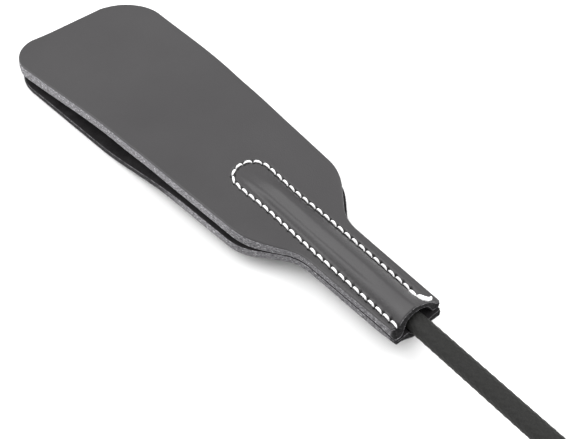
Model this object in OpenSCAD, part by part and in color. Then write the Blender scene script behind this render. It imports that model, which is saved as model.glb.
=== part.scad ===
// Riding crop with a wide two-leaf leather keeper, a braided shaft, a leather grip and a wrist loop.
// It lies along X with the keeper's tip towards -X. The shaft's axis is level and the floor is z = 0.
// Distances called "s" run from the keeper's mouth, where the shaft goes in, towards the tip.

/* [Crop] */
// Length from the keeper's tip to the end of the butt cap
crop_len = 660; // [560:5:760]
// Height of the shaft's axis above the floor, which is also the butt cap's radius
axis_z = 10; // [9.5:0.1:11]

/* [Keeper outline] */
// Length of the upper leaf from the mouth to the tip
keeper_len = 184; // [170:1:200]
// Width of the neck at the mouth
mouth_w = 18.1; // [17.5:0.1:20]
// Width of the neck where it starts to spread into the shoulders
neck_w = 19.6; // [19:0.1:22]
// Distance from the mouth to the corner between neck and shoulder
neck_len = 42; // [38:1:46]
// Distance from the mouth to the corner between shoulder and side
shoulder_s = 57.6; // [54:0.2:62]
// Width at that shoulder corner
shoulder_w = 42.3; // [38:0.1:46]
// Width at the tip
tip_w = 57.2; // [50:0.1:60]
// Radius of the small corners at the mouth
mouth_r = 1.2; // [0.5:0.1:2]
// Radius of the hollow curve between neck and shoulder
neck_fillet_r = 17; // [12:1:20]
// Radius of the round shoulder
shoulder_r = 20; // [12:1:22]
// Radius of the two tip corners
tip_r = 14; // [8:1:20]
// How far the lower leaf stands out past the upper one at the mouth
lower_leaf_extra = 1.5; // [0.5:0.1:3]

/* [Keeper leather] */
// Thickness of a leaf in the pressed and sewn neck
neck_leaf_t = 2.9; // [2.5:0.1:3]
// Thickness of a leaf in the open paddle
paddle_leaf_t = 3.6; // [3:0.1:3.6]
// How far the seam between the leaves lies below the shaft's axis
seam_drop = 0.9; // [0.5:0.1:1.2]
// Radius of the upper leaf's hump about the shaft's axis
upper_hump_r = 5.6; // [5.4:0.1:5.7]
// Radius of the lower leaf's hump about the shaft's axis
lower_hump_r = 5.4; // [5.2:0.1:5.6]
// Distance from the mouth to the line where the loose leaves bend
flex_s = 88; // [86:1:92]
// Height of the top of the arch in the upper leaf
arch_z = 13.4; // [13:0.1:14]
// Gap between the two leaves at the tip
tip_gap = 0.4; // [0.3:0.1:1]

/* [Keeper stitching] */
// Distance from one stitch to the next
stitch_pitch = 3.3; // [3:0.1:3.4]
// Stitches in each straight row
row_stitches = 22; // [20:1:22]
// Stitches round the end of the U
arc_stitches = 7; // [5:1:9]
// Distance between the two straight rows
row_gap = 12.4; // [12:0.1:13]
// Distance from the mouth to the middle of the first stitch
first_stitch_s = 2.3; // [2:0.1:3]
// Diameter of the thread
thread_d = 0.9; // [0.6:0.1:1]

/* [Shaft] */
// Diameter of the rod at its tip, inside the keeper
rod_tip_d = 4; // [3:0.1:4.4]
// Diameter of the rod under the grip
rod_butt_d = 5.4; // [5:0.1:6]
// Thickness of the braided sleeve
sleeve_t = 1; // [0.6:0.1:1]
// How far the rod reaches into the keeper
rod_reach = 70; // [60:1:72]

/* [Grip] */
// Length of the grip between its two rings
grip_len = 172; // [140:1:200]
// Outer diameter of the grip at the front
grip_front_d = 16; // [15.5:0.1:17]
// Outer diameter of the grip at the butt
grip_rear_d = 18.8; // [18:0.1:19]
// Thickness of the grip's leather
grip_leather_t = 1.4; // [1:0.1:2]
// Width of each ring at the grip's ends
ring_w = 6; // [4:0.5:8]
// Length of the thread whipping in front of the grip
whipping_len = 14; // [8:1:20]

/* [Butt cap] */
// Length of the cap
cap_len = 22; // [20:1:26]
// Distance from the cap's rear end to the pin that holds the strap
pin_inset = 7; // [6.5:0.5:8]
// Diameter of that pin
pin_d = 3; // [2.6:0.2:3.2]
// Width of the cap's slot
slot_w = 5; // [4.9:0.1:5.4]

/* [Wrist loop] */
// Distance from the pin to the far end of the loop
loop_len = 176; // [150:1:190]
// Radius of the far bend, on the strap's middle line
loop_r = 33; // [28:1:36]
// Width of the strap
strap_w = 10; // [9:0.5:10.5]
// Thickness of the strap
strap_t = 2.2; // [1.8:0.1:2.2]

/* [Hidden] */
// Places along X. The whole crop, loop included, is centred on the origin.
loop_reach = sqrt(loop_len * loop_len + strap_w * strap_w / 4);
loop_tilt = asin(axis_z / loop_reach) - atan(strap_w / 2 / loop_len);
pin_to_end = loop_len * cos(loop_tilt) + strap_w / 2 * sin(loop_tilt);
tip_x = -(crop_len - pin_inset + pin_to_end) / 2;
mouth_x = tip_x + keeper_len;
butt_x = tip_x + crop_len;
pin_x = butt_x - pin_inset;
cap_x = butt_x - cap_len;
cap_floor_x = cap_x + 7;
grip_x = cap_x - ring_w - grip_len;
whipping_x = grip_x - ring_w - whipping_len;
round_fn = 64;
bore_gap = 0.1;

// Heights in the keeper
seam_z = axis_z - seam_drop;
margin_z = seam_z + neck_leaf_t;
under_z = seam_z - neck_leaf_t;
row_y = row_gap / 2;
arc_s = first_stitch_s + (row_stitches + 0.15) * stitch_pitch;
neck_end_s = flex_s - neck_leaf_t / 2 - 0.5;
// Middle heights of the two leaves at the bend line, where they have just parted
upper_flex_z = seam_z + neck_leaf_t / 2 + 0.15;
lower_flex_z = seam_z - neck_leaf_t / 2 - 0.65;

// Shaft and grip radii
sleeve_tip_r = rod_tip_d / 2 + sleeve_t;
sleeve_butt_r = rod_butt_d / 2 + sleeve_t;
binding_r = sleeve_tip_r + 0.4;
binding_s = [50, 64];
tip_cap_r = sleeve_tip_r + 0.2;
tip_cap_end_s = rod_reach + 3;
core_front_r = grip_front_d / 2 - grip_leather_t;
core_rear_r = grip_rear_d / 2 - grip_leather_t;
ring_front_r = grip_front_d / 2 + 0.5;
ring_rear_r = axis_z - 0.2;
seam_turn = 62;
seam_stitches = 40;
eye_gap = 0.05;

// Replaces each corner [x, y, radius] of a closed outline by an arc that is tangent to both sides
function unit(v) = v / norm(v);
function corner_arc(a, b, c, r) =
    let (
        u = unit([a.x - b.x, a.y - b.y]),
        v = unit([c.x - b.x, c.y - b.y]),
        half = acos(u * v) / 2,
        centre = [b.x, b.y] + unit(u + v) * r / sin(half),
        start = [b.x, b.y] + u * r / tan(half),
        from = atan2(start.y - centre.y, start.x - centre.x),
        turn = (u.x * v.y - u.y * v.x > 0 ? -1 : 1) * (180 - 2 * half),
        steps = max(3, ceil(abs(turn) / 6))
    )
    [for (i = [0:steps]) centre + r * [cos(from + turn * i / steps), sin(from + turn * i / steps)]];
function rounded(corners) =
    let (n = len(corners))
    [for (i = [0:n - 1])
        each corner_arc(corners[(i + n - 1) % n], corners[i], corners[(i + 1) % n], corners[i][2])];
function reversed(list) = [for (i = [len(list) - 1:-1:0]) list[i]];
function mirrored(corners) = [for (c = reversed(corners)) [c[0], -c[1], c[2]]];

// Turns what follows into keeper distances: s from the mouth towards the tip
module from_mouth() {
    translate([mouth_x, 0, 0]) mirror([1, 0, 0]) children();
}

// A profile [distance along X, radius] turned about the shaft's axis, from the given x
module turned(x, profile) {
    translate([x, 0, axis_z])
        rotate([0, 90, 0])
            rotate_extrude($fn = round_fn) polygon([for (p = profile) [p[1], p[0]]]);
}

// The same, for a part that lies inside the keeper: distances are s, from the mouth
module turned_in_keeper(profile) {
    translate([mouth_x, 0, axis_z])
        rotate([0, -90, 0])
            rotate_extrude($fn = round_fn) polygon([for (p = profile) [p[1], p[0]]]);
}

// Plan of one leaf, as tall as the whole keeper. The mouth is at s = -extra.
module leaf_plan(extra) {
    side = [
        [-extra, mouth_w / 2, mouth_r],
        [neck_len, neck_w / 2, neck_fillet_r],
        [shoulder_s, shoulder_w / 2, shoulder_r],
        [keeper_len, tip_w / 2, tip_r]
    ];
    from_mouth() linear_extrude(height = 20) polygon(rounded(concat(side, mirrored(side))));
}

// A side view [s, z] drawn across the full width of the keeper
module across(profile) {
    from_mouth()
        translate([0, tip_w / 2 + 1, 0])
            rotate([90, 0, 0]) linear_extrude(height = tip_w + 2) polygon(profile);
}

// Part of a leaf: its plan cut to a side view given by its upper and its lower line
module leaf(extra, top, bottom) {
    intersection() {
        leaf_plan(extra);
        across(concat(top, reversed(bottom)));
    }
}

// Rounded end of a loose leaf, about the line where it bends
module flex_roll(z) {
    intersection() {
        leaf_plan(0);
        from_mouth()
            translate([flex_s, tip_w / 2 + 1, z])
                rotate([90, 0, 0]) cylinder(r = neck_leaf_t / 2, h = tip_w + 2, $fn = round_fn);
    }
}

// Ridge that the leather makes over the rod, faded out past the rod's end
module hump(r, mouth_s) {
    turned_in_keeper([
        [mouth_s, 0], [mouth_s, r - 0.5], [mouth_s + 0.5, r], [rod_reach - 4, r],
        [rod_reach + 2, r - 0.8], [rod_reach + 6, r - 2.4], [rod_reach + 8, 0]
    ]);
}

// Hollow for the rod, its sleeve, the binding and the tip cap, with the gaps beside the rod
module rod_hollow() {
    turned_in_keeper([
        [-2 * lower_leaf_extra, 0], [-2 * lower_leaf_extra, sleeve_tip_r],
        [binding_s[0], sleeve_tip_r], [binding_s[0], binding_r], [binding_s[1], binding_r],
        [binding_s[1], tip_cap_r], [tip_cap_end_s, tip_cap_r], [tip_cap_end_s, 0]
    ]);
    top_z = axis_z + sleeve_tip_r * 0.5;
    side_y = sleeve_tip_r * 0.8;
    foot_y = row_y - thread_d - 0.4;
    gap = [[foot_y, seam_z], [side_y, top_z], [-side_y, top_z], [-foot_y, seam_z]];
    translate([mouth_x + 1, 0, 0])
        rotate([0, -90, 0])
            linear_extrude(height = binding_s[0] + 1) polygon([for (p = gap) [p[1], p[0]]]);
}

module above_seam() {
    from_mouth() translate([-5, -20, seam_z]) cube([keeper_len, 40, 20]);
}

module below_seam() {
    from_mouth() translate([-5, -20, seam_z - 20]) cube([keeper_len, 40, 20]);
}

module upper_leaf_neck() {
    color([0.20, 0.20, 0.21])
        difference() {
            union() {
                leaf(0,
                    [[0, margin_z], [neck_end_s, margin_z]],
                    [[0, seam_z], [neck_end_s, seam_z]]);
                intersection() {
                    hump(upper_hump_r, 0);
                    above_seam();
                }
            }
            rod_hollow();
        }
}

module upper_leaf_flap() {
    top = [
        [flex_s, upper_flex_z + neck_leaf_t / 2], [flex_s + 16, arch_z], [flex_s + 34, arch_z],
        [flex_s + 54, arch_z - 1.7], [flex_s + 76, arch_z - 4.6],
        [keeper_len, 2 * paddle_leaf_t + tip_gap]
    ];
    bottom = [
        [flex_s, upper_flex_z - neck_leaf_t / 2], [flex_s + 16, arch_z - paddle_leaf_t],
        [flex_s + 34, arch_z - paddle_leaf_t], [flex_s + 54, arch_z - 1.7 - paddle_leaf_t],
        [flex_s + 76, arch_z - 4.6 - paddle_leaf_t], [keeper_len, paddle_leaf_t + tip_gap]
    ];
    color([0.22, 0.22, 0.23]) {
        leaf(0, top, bottom);
        flex_roll(upper_flex_z);
    }
}

module lower_leaf_neck() {
    color([0.20, 0.20, 0.21])
        difference() {
            union() {
                leaf(lower_leaf_extra,
                    [[-lower_leaf_extra, seam_z], [neck_end_s, seam_z]],
                    [[-lower_leaf_extra, under_z], [neck_end_s, under_z]]);
                intersection() {
                    hump(lower_hump_r, -lower_leaf_extra);
                    below_seam();
                }
            }
            rod_hollow();
        }
}

module lower_leaf_flap() {
    top = [
        [flex_s, lower_flex_z + neck_leaf_t / 2], [flex_s + 16, paddle_leaf_t + 2.4],
        [flex_s + 36, paddle_leaf_t], [keeper_len, paddle_leaf_t]
    ];
    bottom = [
        [flex_s, lower_flex_z - neck_leaf_t / 2], [flex_s + 16, 2.4], [flex_s + 36, 0], [keeper_len, 0]
    ];
    color([0.22, 0.22, 0.23]) {
        leaf(0, top, bottom);
        flex_roll(lower_flex_z);
    }
}

// One stitch lying along X, with its middle at the origin
module stitch(length) {
    translate([-length / 2, 0, 0]) rotate([0, 90, 0]) cylinder(d = thread_d, h = length, $fn = 16);
}

// All the stitches of the U at one height
module keeper_stitches(z) {
    length = 0.78 * stitch_pitch;
    from_mouth() {
        for (side = [-1, 1])
            for (i = [0:row_stitches - 1])
                translate([first_stitch_s + i * stitch_pitch, side * row_y, z]) stitch(length);
        for (i = [0:arc_stitches - 1]) {
            turn = 180 * (i + 0.5) / arc_stitches;
            translate([arc_s + row_y * sin(turn), row_y * cos(turn), z])
                rotate([0, 0, -turn]) stitch(0.7 * stitch_pitch);
        }
    }
}

module keeper_top_thread() {
    color("white") keeper_stitches(margin_z + thread_d / 2);
}

module keeper_under_thread() {
    color("white") keeper_stitches(under_z - thread_d / 2);
}

module shaft_rod() {
    color([0.75, 0.78, 0.70])
        turned(mouth_x - rod_reach, [
            [0, 0], [0, rod_tip_d / 2 - 0.3], [0.3, rod_tip_d / 2], [rod_reach, rod_tip_d / 2],
            [grip_x - mouth_x + rod_reach, rod_butt_d / 2],
            [cap_floor_x - mouth_x + rod_reach, rod_butt_d / 2],
            [cap_floor_x - mouth_x + rod_reach, 0]
        ]);
}

module shaft_sleeve() {
    color([0.10, 0.10, 0.11])
        turned(mouth_x, [
            [-binding_s[1], rod_tip_d / 2], [-binding_s[1], sleeve_tip_r], [0, sleeve_tip_r],
            [grip_x - mouth_x, sleeve_butt_r], [cap_floor_x - mouth_x, sleeve_butt_r],
            [cap_floor_x - mouth_x, rod_butt_d / 2], [grip_x - mouth_x, rod_butt_d / 2],
            [0, rod_tip_d / 2]
        ]);
}

// Thimble on the rod's end that stops it from working through the leather
module rod_tip_cap() {
    color([0.15, 0.15, 0.15])
        turned_in_keeper([
            [binding_s[1], rod_tip_d / 2], [binding_s[1], tip_cap_r], [tip_cap_end_s - 1, tip_cap_r],
            [tip_cap_end_s, tip_cap_r - 1], [tip_cap_end_s, 0], [rod_reach, 0],
            [rod_reach, rod_tip_d / 2 - 0.3], [rod_reach - 0.3, rod_tip_d / 2]
        ]);
}

module sleeve_binding() {
    color([0.85, 0.83, 0.78])
        turned_in_keeper([
            [binding_s[0], sleeve_tip_r], [binding_s[0], binding_r],
            [binding_s[1], binding_r], [binding_s[1], sleeve_tip_r]
        ]);
}

// Radius of the tapered sleeve at a place along X
function sleeve_r(x) =
    sleeve_tip_r + (sleeve_butt_r - sleeve_tip_r) * min(1, (x - mouth_x) / (grip_x - mouth_x));

module grip_whipping() {
    end_x = grip_x - ring_w;
    color([0.08, 0.08, 0.08])
        turned(whipping_x, [
            [0, sleeve_r(whipping_x)], [0.4, sleeve_r(whipping_x) + 0.5],
            [whipping_len, sleeve_r(end_x) + 0.9], [whipping_len, sleeve_r(end_x)]
        ]);
}

module grip_front_ring() {
    start_x = grip_x - ring_w;
    color([0.72, 0.72, 0.74])
        turned(start_x, [
            [0, sleeve_r(start_x)], [0, ring_front_r - 2.6], [ring_w - 2.6, ring_front_r],
            [ring_w, ring_front_r], [ring_w, sleeve_butt_r]
        ]);
}

module grip_core() {
    color([0.30, 0.28, 0.26])
        turned(grip_x, [
            [0, sleeve_butt_r], [0, core_front_r], [grip_len, core_rear_r],
            [cap_floor_x - grip_x, core_rear_r], [cap_floor_x - grip_x, sleeve_butt_r]
        ]);
}

module grip_cover() {
    color([0.17, 0.17, 0.18])
        turned(grip_x, [
            [0, core_front_r], [0, grip_front_d / 2], [grip_len, grip_rear_d / 2],
            [grip_len, core_rear_r]
        ]);
}

// Row of stitches along the cover's seam, on the side away from the floor
module grip_seam_thread() {
    pitch = (grip_len - 8) / seam_stitches;
    slope = atan((grip_rear_d - grip_front_d) / 2 / grip_len);
    color("white")
        translate([grip_x, 0, axis_z])
            rotate([seam_turn, 0, 0])
                for (i = [0:seam_stitches - 1]) {
                    along = 4 + (i + 0.5) * pitch;
                    r = (grip_front_d + (grip_rear_d - grip_front_d) * along / grip_len) / 2;
                    translate([along, 0, r + thread_d / 2]) rotate([0, -slope, 0]) stitch(0.75 * pitch);
                }
}

module grip_rear_ring() {
    color([0.72, 0.72, 0.74])
        turned(cap_x - ring_w, [
            [0, core_rear_r], [0, ring_rear_r - 0.4], [0.4, ring_rear_r],
            [ring_w - 0.4, ring_rear_r], [ring_w, ring_rear_r - 0.4], [ring_w, core_rear_r]
        ]);
}

// Three brads, evenly spaced, hold the cap to the grip's core
brad_x = cap_x + 3.5;
brad_turns = [0, 120, 240];
brad_shank_r = 0.8;
brad_inner_r = core_rear_r - 3;

module at_brads() {
    for (turn = brad_turns)
        translate([brad_x, 0, axis_z]) rotate([turn, 0, 0]) translate([0, 0, brad_inner_r]) children();
}

module butt_cap() {
    slot_start = pin_x - strap_w / 2 - 0.4;
    dome = 6;
    color([0.74, 0.74, 0.76])
        difference() {
            turned(cap_x, concat(
                [[0, core_rear_r], [0, axis_z - 0.4], [0.4, axis_z]],
                [for (a = [0:15:90]) [cap_len - dome + dome * sin(a), axis_z - dome + dome * cos(a)]],
                [[cap_len, 0], [cap_floor_x - cap_x, 0], [cap_floor_x - cap_x, core_rear_r]]));
            translate([slot_start, -slot_w / 2, -1]) cube([cap_len, slot_w, 2 * axis_z + 2]);
            translate([pin_x, -axis_z - 1, axis_z])
                rotate([-90, 0, 0]) cylinder(d = pin_d, h = 2 * axis_z + 2, $fn = round_fn);
            at_brads() cylinder(r = brad_shank_r, h = axis_z, $fn = 24);
        }
}

// Each brad is a plain pin driven through the cap into the core, its head set just under the surface
module cap_brads() {
    color([0.80, 0.68, 0.35])
        at_brads() cylinder(r = brad_shank_r, h = axis_z - brad_inner_r - 0.1, $fn = 24);
}

module strap_pin() {
    length = 2 * (axis_z - 2.2);
    color([0.80, 0.80, 0.82])
        translate([pin_x, -length / 2, axis_z])
            rotate([-90, 0, 0]) cylinder(d = pin_d, h = length, $fn = round_fn);
}

// Half of the strap's middle line as [x, y, heading], from the pin to the loop's far end
leave_x = 24;
spread_r = 60;
strand_y = strap_t / 2 + eye_gap;
far_centre = [loop_len - strap_t / 2 - loop_r, 0];
spread_centre = [leave_x, strand_y + spread_r];
centres = far_centre - spread_centre;
spread_turn = atan2(centres.y, centres.x) + asin((spread_r + loop_r) / norm(centres));
half_loop = concat(
    [[0, strand_y, 0]],
    [for (i = [0:6])
        let (a = spread_turn * i / 6)
        [spread_centre.x + spread_r * sin(a), spread_centre.y - spread_r * cos(a), a]],
    [for (i = [0:18])
        let (a = spread_turn - (spread_turn + 90) * i / 18)
        [far_centre.x - loop_r * sin(a), far_centre.y + loop_r * cos(a), a]]);
function shifted(line, d) = [for (p = line) [p[0] - d * sin(p[2]), p[1] + d * cos(p[2])]];
function other_side(points) = [for (p = points) [p[0], -p[1]]];

// Puts a shape drawn at the pin in its place, sloping down until the loop's end rests on the floor
module at_pin() {
    translate([pin_x, 0, axis_z]) rotate([0, loop_tilt, 0]) children();
}

module across_strap(x, r, h) {
    translate([x, -h / 2, 0]) rotate([-90, 0, 0]) cylinder(r = r, h = h, $fn = round_fn);
}

rivet_x = 19;
rivet_r = 1.3;
module wrist_strap() {
    outer = shifted(half_loop, strap_t / 2);
    inner = shifted(half_loop, -strap_t / 2);
    color([0.16, 0.16, 0.17])
        at_pin()
            difference() {
                union() {
                    translate([0, 0, -strap_w / 2])
                        linear_extrude(height = strap_w)
                            polygon(concat(outer, reversed(other_side(outer)), other_side(inner),
                                reversed(inner)));
                    difference() {
                        across_strap(0, strap_w / 2, 2 * strap_t + 2 * eye_gap);
                        translate([-strap_w, -eye_gap, -strap_w]) cube([2 * strap_w, 2 * eye_gap, 2 * strap_w]);
                    }
                }
                across_strap(0, pin_d / 2 + bore_gap, 4 * strap_t);
                across_strap(rivet_x, rivet_r, 4 * strap_t);
            }
}

// Tubular rivet through both strands, with a low head on each side
module strap_rivet() {
    half = strap_t + eye_gap;
    color([0.78, 0.78, 0.80])
        at_pin()
            union() {
                across_strap(rivet_x, rivet_r, 2 * half);
                for (side = [-1, 1])
                    scale([1, side, 1])
                        translate([rivet_x, half, 0])
                            rotate([-90, 0, 0]) cylinder(r1 = 3.2, r2 = 2.4, h = 0.9, $fn = round_fn);
            }
}

upper_leaf_neck();
upper_leaf_flap();
lower_leaf_neck();
lower_leaf_flap();
keeper_top_thread();
keeper_under_thread();
shaft_rod();
shaft_sleeve();
rod_tip_cap();
sleeve_binding();
grip_whipping();
grip_front_ring();
grip_core();
grip_cover();
grip_seam_thread();
grip_rear_ring();
butt_cap();
cap_brads();
strap_pin();
wrist_strap();
strap_rivet();
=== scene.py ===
import math

import bmesh
import bpy
import numpy as np
from mathutils import Matrix, Vector


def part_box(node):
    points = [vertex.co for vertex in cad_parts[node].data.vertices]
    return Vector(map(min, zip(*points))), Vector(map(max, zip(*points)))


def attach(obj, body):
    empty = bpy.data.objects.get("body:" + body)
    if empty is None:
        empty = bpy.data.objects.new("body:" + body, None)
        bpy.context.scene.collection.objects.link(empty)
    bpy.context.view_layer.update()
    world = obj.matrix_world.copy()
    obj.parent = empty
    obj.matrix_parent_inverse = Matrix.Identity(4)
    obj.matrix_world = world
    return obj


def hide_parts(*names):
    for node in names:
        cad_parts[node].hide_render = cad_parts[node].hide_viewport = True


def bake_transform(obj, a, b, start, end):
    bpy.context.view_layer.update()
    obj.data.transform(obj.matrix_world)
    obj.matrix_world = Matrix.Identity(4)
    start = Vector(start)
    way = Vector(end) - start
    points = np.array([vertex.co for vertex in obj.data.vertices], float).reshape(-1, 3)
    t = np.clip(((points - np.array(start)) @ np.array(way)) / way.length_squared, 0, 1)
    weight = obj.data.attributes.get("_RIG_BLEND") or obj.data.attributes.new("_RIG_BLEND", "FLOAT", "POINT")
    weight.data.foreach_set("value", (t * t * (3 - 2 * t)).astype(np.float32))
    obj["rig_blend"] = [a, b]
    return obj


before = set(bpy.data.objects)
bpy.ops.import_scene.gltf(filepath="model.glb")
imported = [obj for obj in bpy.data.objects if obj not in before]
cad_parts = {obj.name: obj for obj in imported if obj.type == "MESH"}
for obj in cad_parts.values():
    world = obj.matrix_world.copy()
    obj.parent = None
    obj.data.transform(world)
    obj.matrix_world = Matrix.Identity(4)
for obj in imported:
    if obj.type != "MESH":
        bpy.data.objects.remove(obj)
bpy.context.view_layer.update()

mm = 0.001


# ---- Keeper leaves
# Two leaves of thick dyed leather, cut by hand to one outline and sewn together over the end of the shaft.
# The neck is pressed flat; past the seam the leaves are loose, the upper one arched over the lower.
neck_low, neck_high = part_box("upper_leaf_neck")
sleeve_low, sleeve_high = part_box("shaft_sleeve")
mouth_x = neck_high.x
keeper_len = mouth_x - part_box("upper_leaf_flap")[0].x
axis_z = (sleeve_low.z + sleeve_high.z) / 2
seam_z = neck_low.z
neck_thickness = 2.9 * mm
# For each leaf, the corners of its left and right half outlines, as distance from the mouth and half-width,
# and the radius of its left tip corner
tip_s = keeper_len / mm
upper_outline = (np.array([[-4, 8.55], [40.6, 10.0], [56.2, 20.6], [tip_s, 28.8]]) * mm,
                 np.array([[-4, 9.9], [42.0, 9.9], [57.4, 21.6], [tip_s, 28.2]]) * mm, 12 * mm)
lower_outline = (np.array([[-4, 8.55], [40.6, 10.0], [56.2, 21.1], [tip_s, 29.7]]) * mm,
                 np.array([[-4, 9.6], [40.6, 10.0], [56.0, 22.1], [tip_s, 28.0]]) * mm, 16 * mm)
right_tip_corner = 17 * mm
neck_corner = 17 * mm
shoulder_corner = 20 * mm
# How far the leaves stand apart at the shoulders, upwards and downwards
upper_splay = 1.9 * mm
lower_splay = 1.0 * mm
# The hump over the shaft has a soft ridge along its crest and a crease on the left of it
ridge_height = 0.45 * mm
crease_depth = 0.45 * mm
crease_y = -2.5 * mm
# The seam: a row on each side of the shaft, a little wider apart towards its round end
arc_s = 75.1 * mm
arc_row = 6.4 * mm
seam_start_s = 2.14 * mm
seam_end_s = 10.04 * mm
stitch_count = 49
stitch_pitch = (2 * arc_s - seam_start_s - seam_end_s + math.pi * arc_row) / (stitch_count - 1)


def ease(value, start, end):
    """0 before start, 1 after end, and a smooth step between."""
    t = np.clip((value - start) / (end - start), 0, 1)
    return t * t * (3 - 2 * t)


def soft_max(a, b, blend):
    """The larger of two heights, blended where they meet."""
    return np.logaddexp(a / blend, b / blend) * blend


def arc_points(a, b, c, radius, steps=14):
    """The arc that rounds corner b between a and c."""
    u, v = (a - b) / np.linalg.norm(a - b), (c - b) / np.linalg.norm(c - b)
    half = math.acos(u @ v) / 2
    centre = b + (u + v) / np.linalg.norm(u + v) * radius / math.sin(half)
    first, last = b + u * radius / math.tan(half) - centre, b + v * radius / math.tan(half) - centre
    start = math.atan2(first[1], first[0])
    turn = (math.atan2(last[1], last[0]) - start + math.pi) % (2 * math.pi) - math.pi
    angles = [start + turn * k / steps for k in range(steps + 1)]
    return [centre + radius * np.array([math.cos(angle), math.sin(angle)]) for angle in angles]


def half_width(s, corners, tip_corner):
    """Half-width of the leaf: neck, shoulder, straight flared side and round tip corner."""
    a, b, c, d = corners
    neck_arc, shoulder_arc = arc_points(a, b, c, neck_corner), arc_points(b, c, d, shoulder_corner)
    side = np.array([a] + neck_arc + shoulder_arc + [d])
    angle = math.atan2(d[1] - c[1], d[0] - c[0])
    centre_s = d[0] - tip_corner
    centre_y = d[1] - math.tan(angle) * tip_corner - tip_corner / math.cos(angle)
    reach = np.sqrt(np.clip(tip_corner**2 - (s - centre_s) ** 2, 0, None))
    side_end = centre_s - tip_corner * math.sin(angle)
    return np.where(s > side_end, centre_y + reach, np.interp(s, side[:, 0], side[:, 1]))


def width_at(s, y, outline):
    left, right, left_tip_corner = outline
    return np.where(y < 0, half_width(s, left, left_tip_corner), half_width(s, right, right_tip_corner))


def edge_distance(s, y, mouth_line, outline):
    """How far a point of the leaf is inside its outline."""
    step = 0.2 * mm
    slope = (width_at(s + step, y, outline) - width_at(s - step, y, outline)) / (2 * step)
    side = (width_at(s, y, outline) - np.abs(y)) / np.sqrt(1 + np.clip(slope, -3, 3) ** 2)
    return np.clip(np.minimum(side, np.minimum(keeper_len - s, s - mouth_line)), 0, None)


def rounding(distance, radius):
    """How far a round edge drops at a distance inside it."""
    return radius - np.sqrt(np.clip(radius**2 - (radius - np.minimum(distance, radius)) ** 2, 0, None))


def seam_middle(s):
    """The seam drifts a little to the left towards its round end."""
    return (-0.25 - 0.35 * ease(s, 44 * mm, arc_s)) * mm


def seam_half(s):
    """Half the distance between the rows, which come closer just before the round end."""
    pinched = 0.3 * mm * np.exp(-(((s - 60 * mm) / (9 * mm)) ** 2))
    return arc_row - 0.2 * mm * (1 - ease(s, 60 * mm, arc_s)) - pinched * (1 - ease(s, 64 * mm, arc_s))


def seam_place(s, y):
    """Distance along the seam from its first stitch, and distance away from it."""
    from_middle = y - seam_middle(s)
    on_arc = s > arc_s
    away = np.where(on_arc, np.hypot(s - arc_s, from_middle) - arc_row, np.abs(from_middle) - seam_half(s))
    leg = arc_s - seam_start_s
    on_leg = np.where(from_middle < 0, s - seam_start_s, leg + math.pi * arc_row + arc_s - s)
    return np.where(on_arc, leg + arc_row * (math.pi / 2 + np.arctan2(from_middle, s - arc_s)), on_leg), away


def stitch_hole(s, y):
    """1 in the slits where the thread goes through, one between each two stitches."""
    along, away = seam_place(s, y)
    slit = (0.5 - 0.5 * np.cos(2 * math.pi * along / stitch_pitch + 0.55 * away / mm)) ** 4
    ends = np.where(y < 0, ease(s, 0.1 * mm, 0.6 * mm), ease(s, 7.6 * mm, 8.2 * mm))
    return ends * slit * np.exp(-((away / (0.85 * mm)) ** 4))


def seam_groove(s, y):
    """Depth that the thread pulls the leather in along the seam."""
    away = seam_place(s, y)[1]
    return ease(s, 0, 3 * mm) * 0.26 * mm * np.exp(-((away / (0.9 * mm)) ** 2)) + 0.8 * mm * stitch_hole(s, y)


def mouth_flare(s):
    """1 at the mouth, where the leaves open, and 0 a little inside it."""
    return 1 - ease(s, -2.5 * mm, 7 * mm)


def left_corner_dip(s, y):
    """How far the left corner at the mouth hangs down."""
    return 0.5 * mm * mouth_flare(s) * (1 - ease(y, -6.5 * mm, -4.5 * mm))


def over_shaft(s):
    """1 over the shaft and 0 past its end."""
    return 1 - ease(s, 69 * mm, 74 * mm)


def margin_puff(s, y):
    """The edges outside the seam swell a little near the mouth."""
    away = seam_place(s, y)[1]
    return 0.38 * mm * np.exp(-(((away - 1.7 * mm) / (0.9 * mm)) ** 2)) * (1 - ease(s, 24 * mm, 44 * mm))


def swelling(s, y):
    """1 where the leather is loose and at its full thickness, 0 where the seam presses it flat."""
    beside_seam = ease(s, 40 * mm, 56 * mm) * ease(np.abs(y), 7.4 * mm, 12 * mm)
    return np.maximum(ease(s, 82 * mm, 98 * mm), beside_seam)


def splay(s, y):
    """1 at the shoulders, where the two leaves stand apart."""
    return ease(s, 42 * mm, 62 * mm) * (1 - ease(s, 80 * mm, 116 * mm)) * ease(np.abs(y), 5 * mm, 22 * mm)


def arch(s):
    """Rise of the upper leaf past the seam, and its fall towards the tip."""
    return 1.5 * mm * ease(s, 82 * mm, 108 * mm) - 5.8 * mm * ease(s, 118 * mm, keeper_len)


def tip_swelling(s, y):
    """The upper leaf is thickest at its left tip corner."""
    return 0.8 * mm * ease(s, 125 * mm, keeper_len) * ease(-y, 8 * mm, 26 * mm)


def tunnel(s, y, foot_y, foot_z, radius):
    """Height of the hollow over the shaft: round above it, then straight down to its feet."""
    tangent = np.arccos(radius / np.hypot(foot_y, foot_z)) + np.arctan2(foot_z, foot_y)
    tangent_y, tangent_z = radius * np.cos(tangent), radius * np.sin(tangent)
    straight = tangent_z + (np.abs(y) - tangent_y) * (foot_z - tangent_z) / (foot_y - tangent_y)
    round_part = np.sqrt(np.clip(radius**2 - y**2, 0, None))
    height = np.where(np.abs(y) < tangent_y, round_part, straight) - foot_z
    return np.clip(height, 0, None) * over_shaft(s)


def widened(s, y):
    """Across position, squeezed on the right near the mouth, where the leaf has opened wider."""
    return np.where(y > 0, y / (1 + 0.42 * mouth_flare(s)), y)


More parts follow.
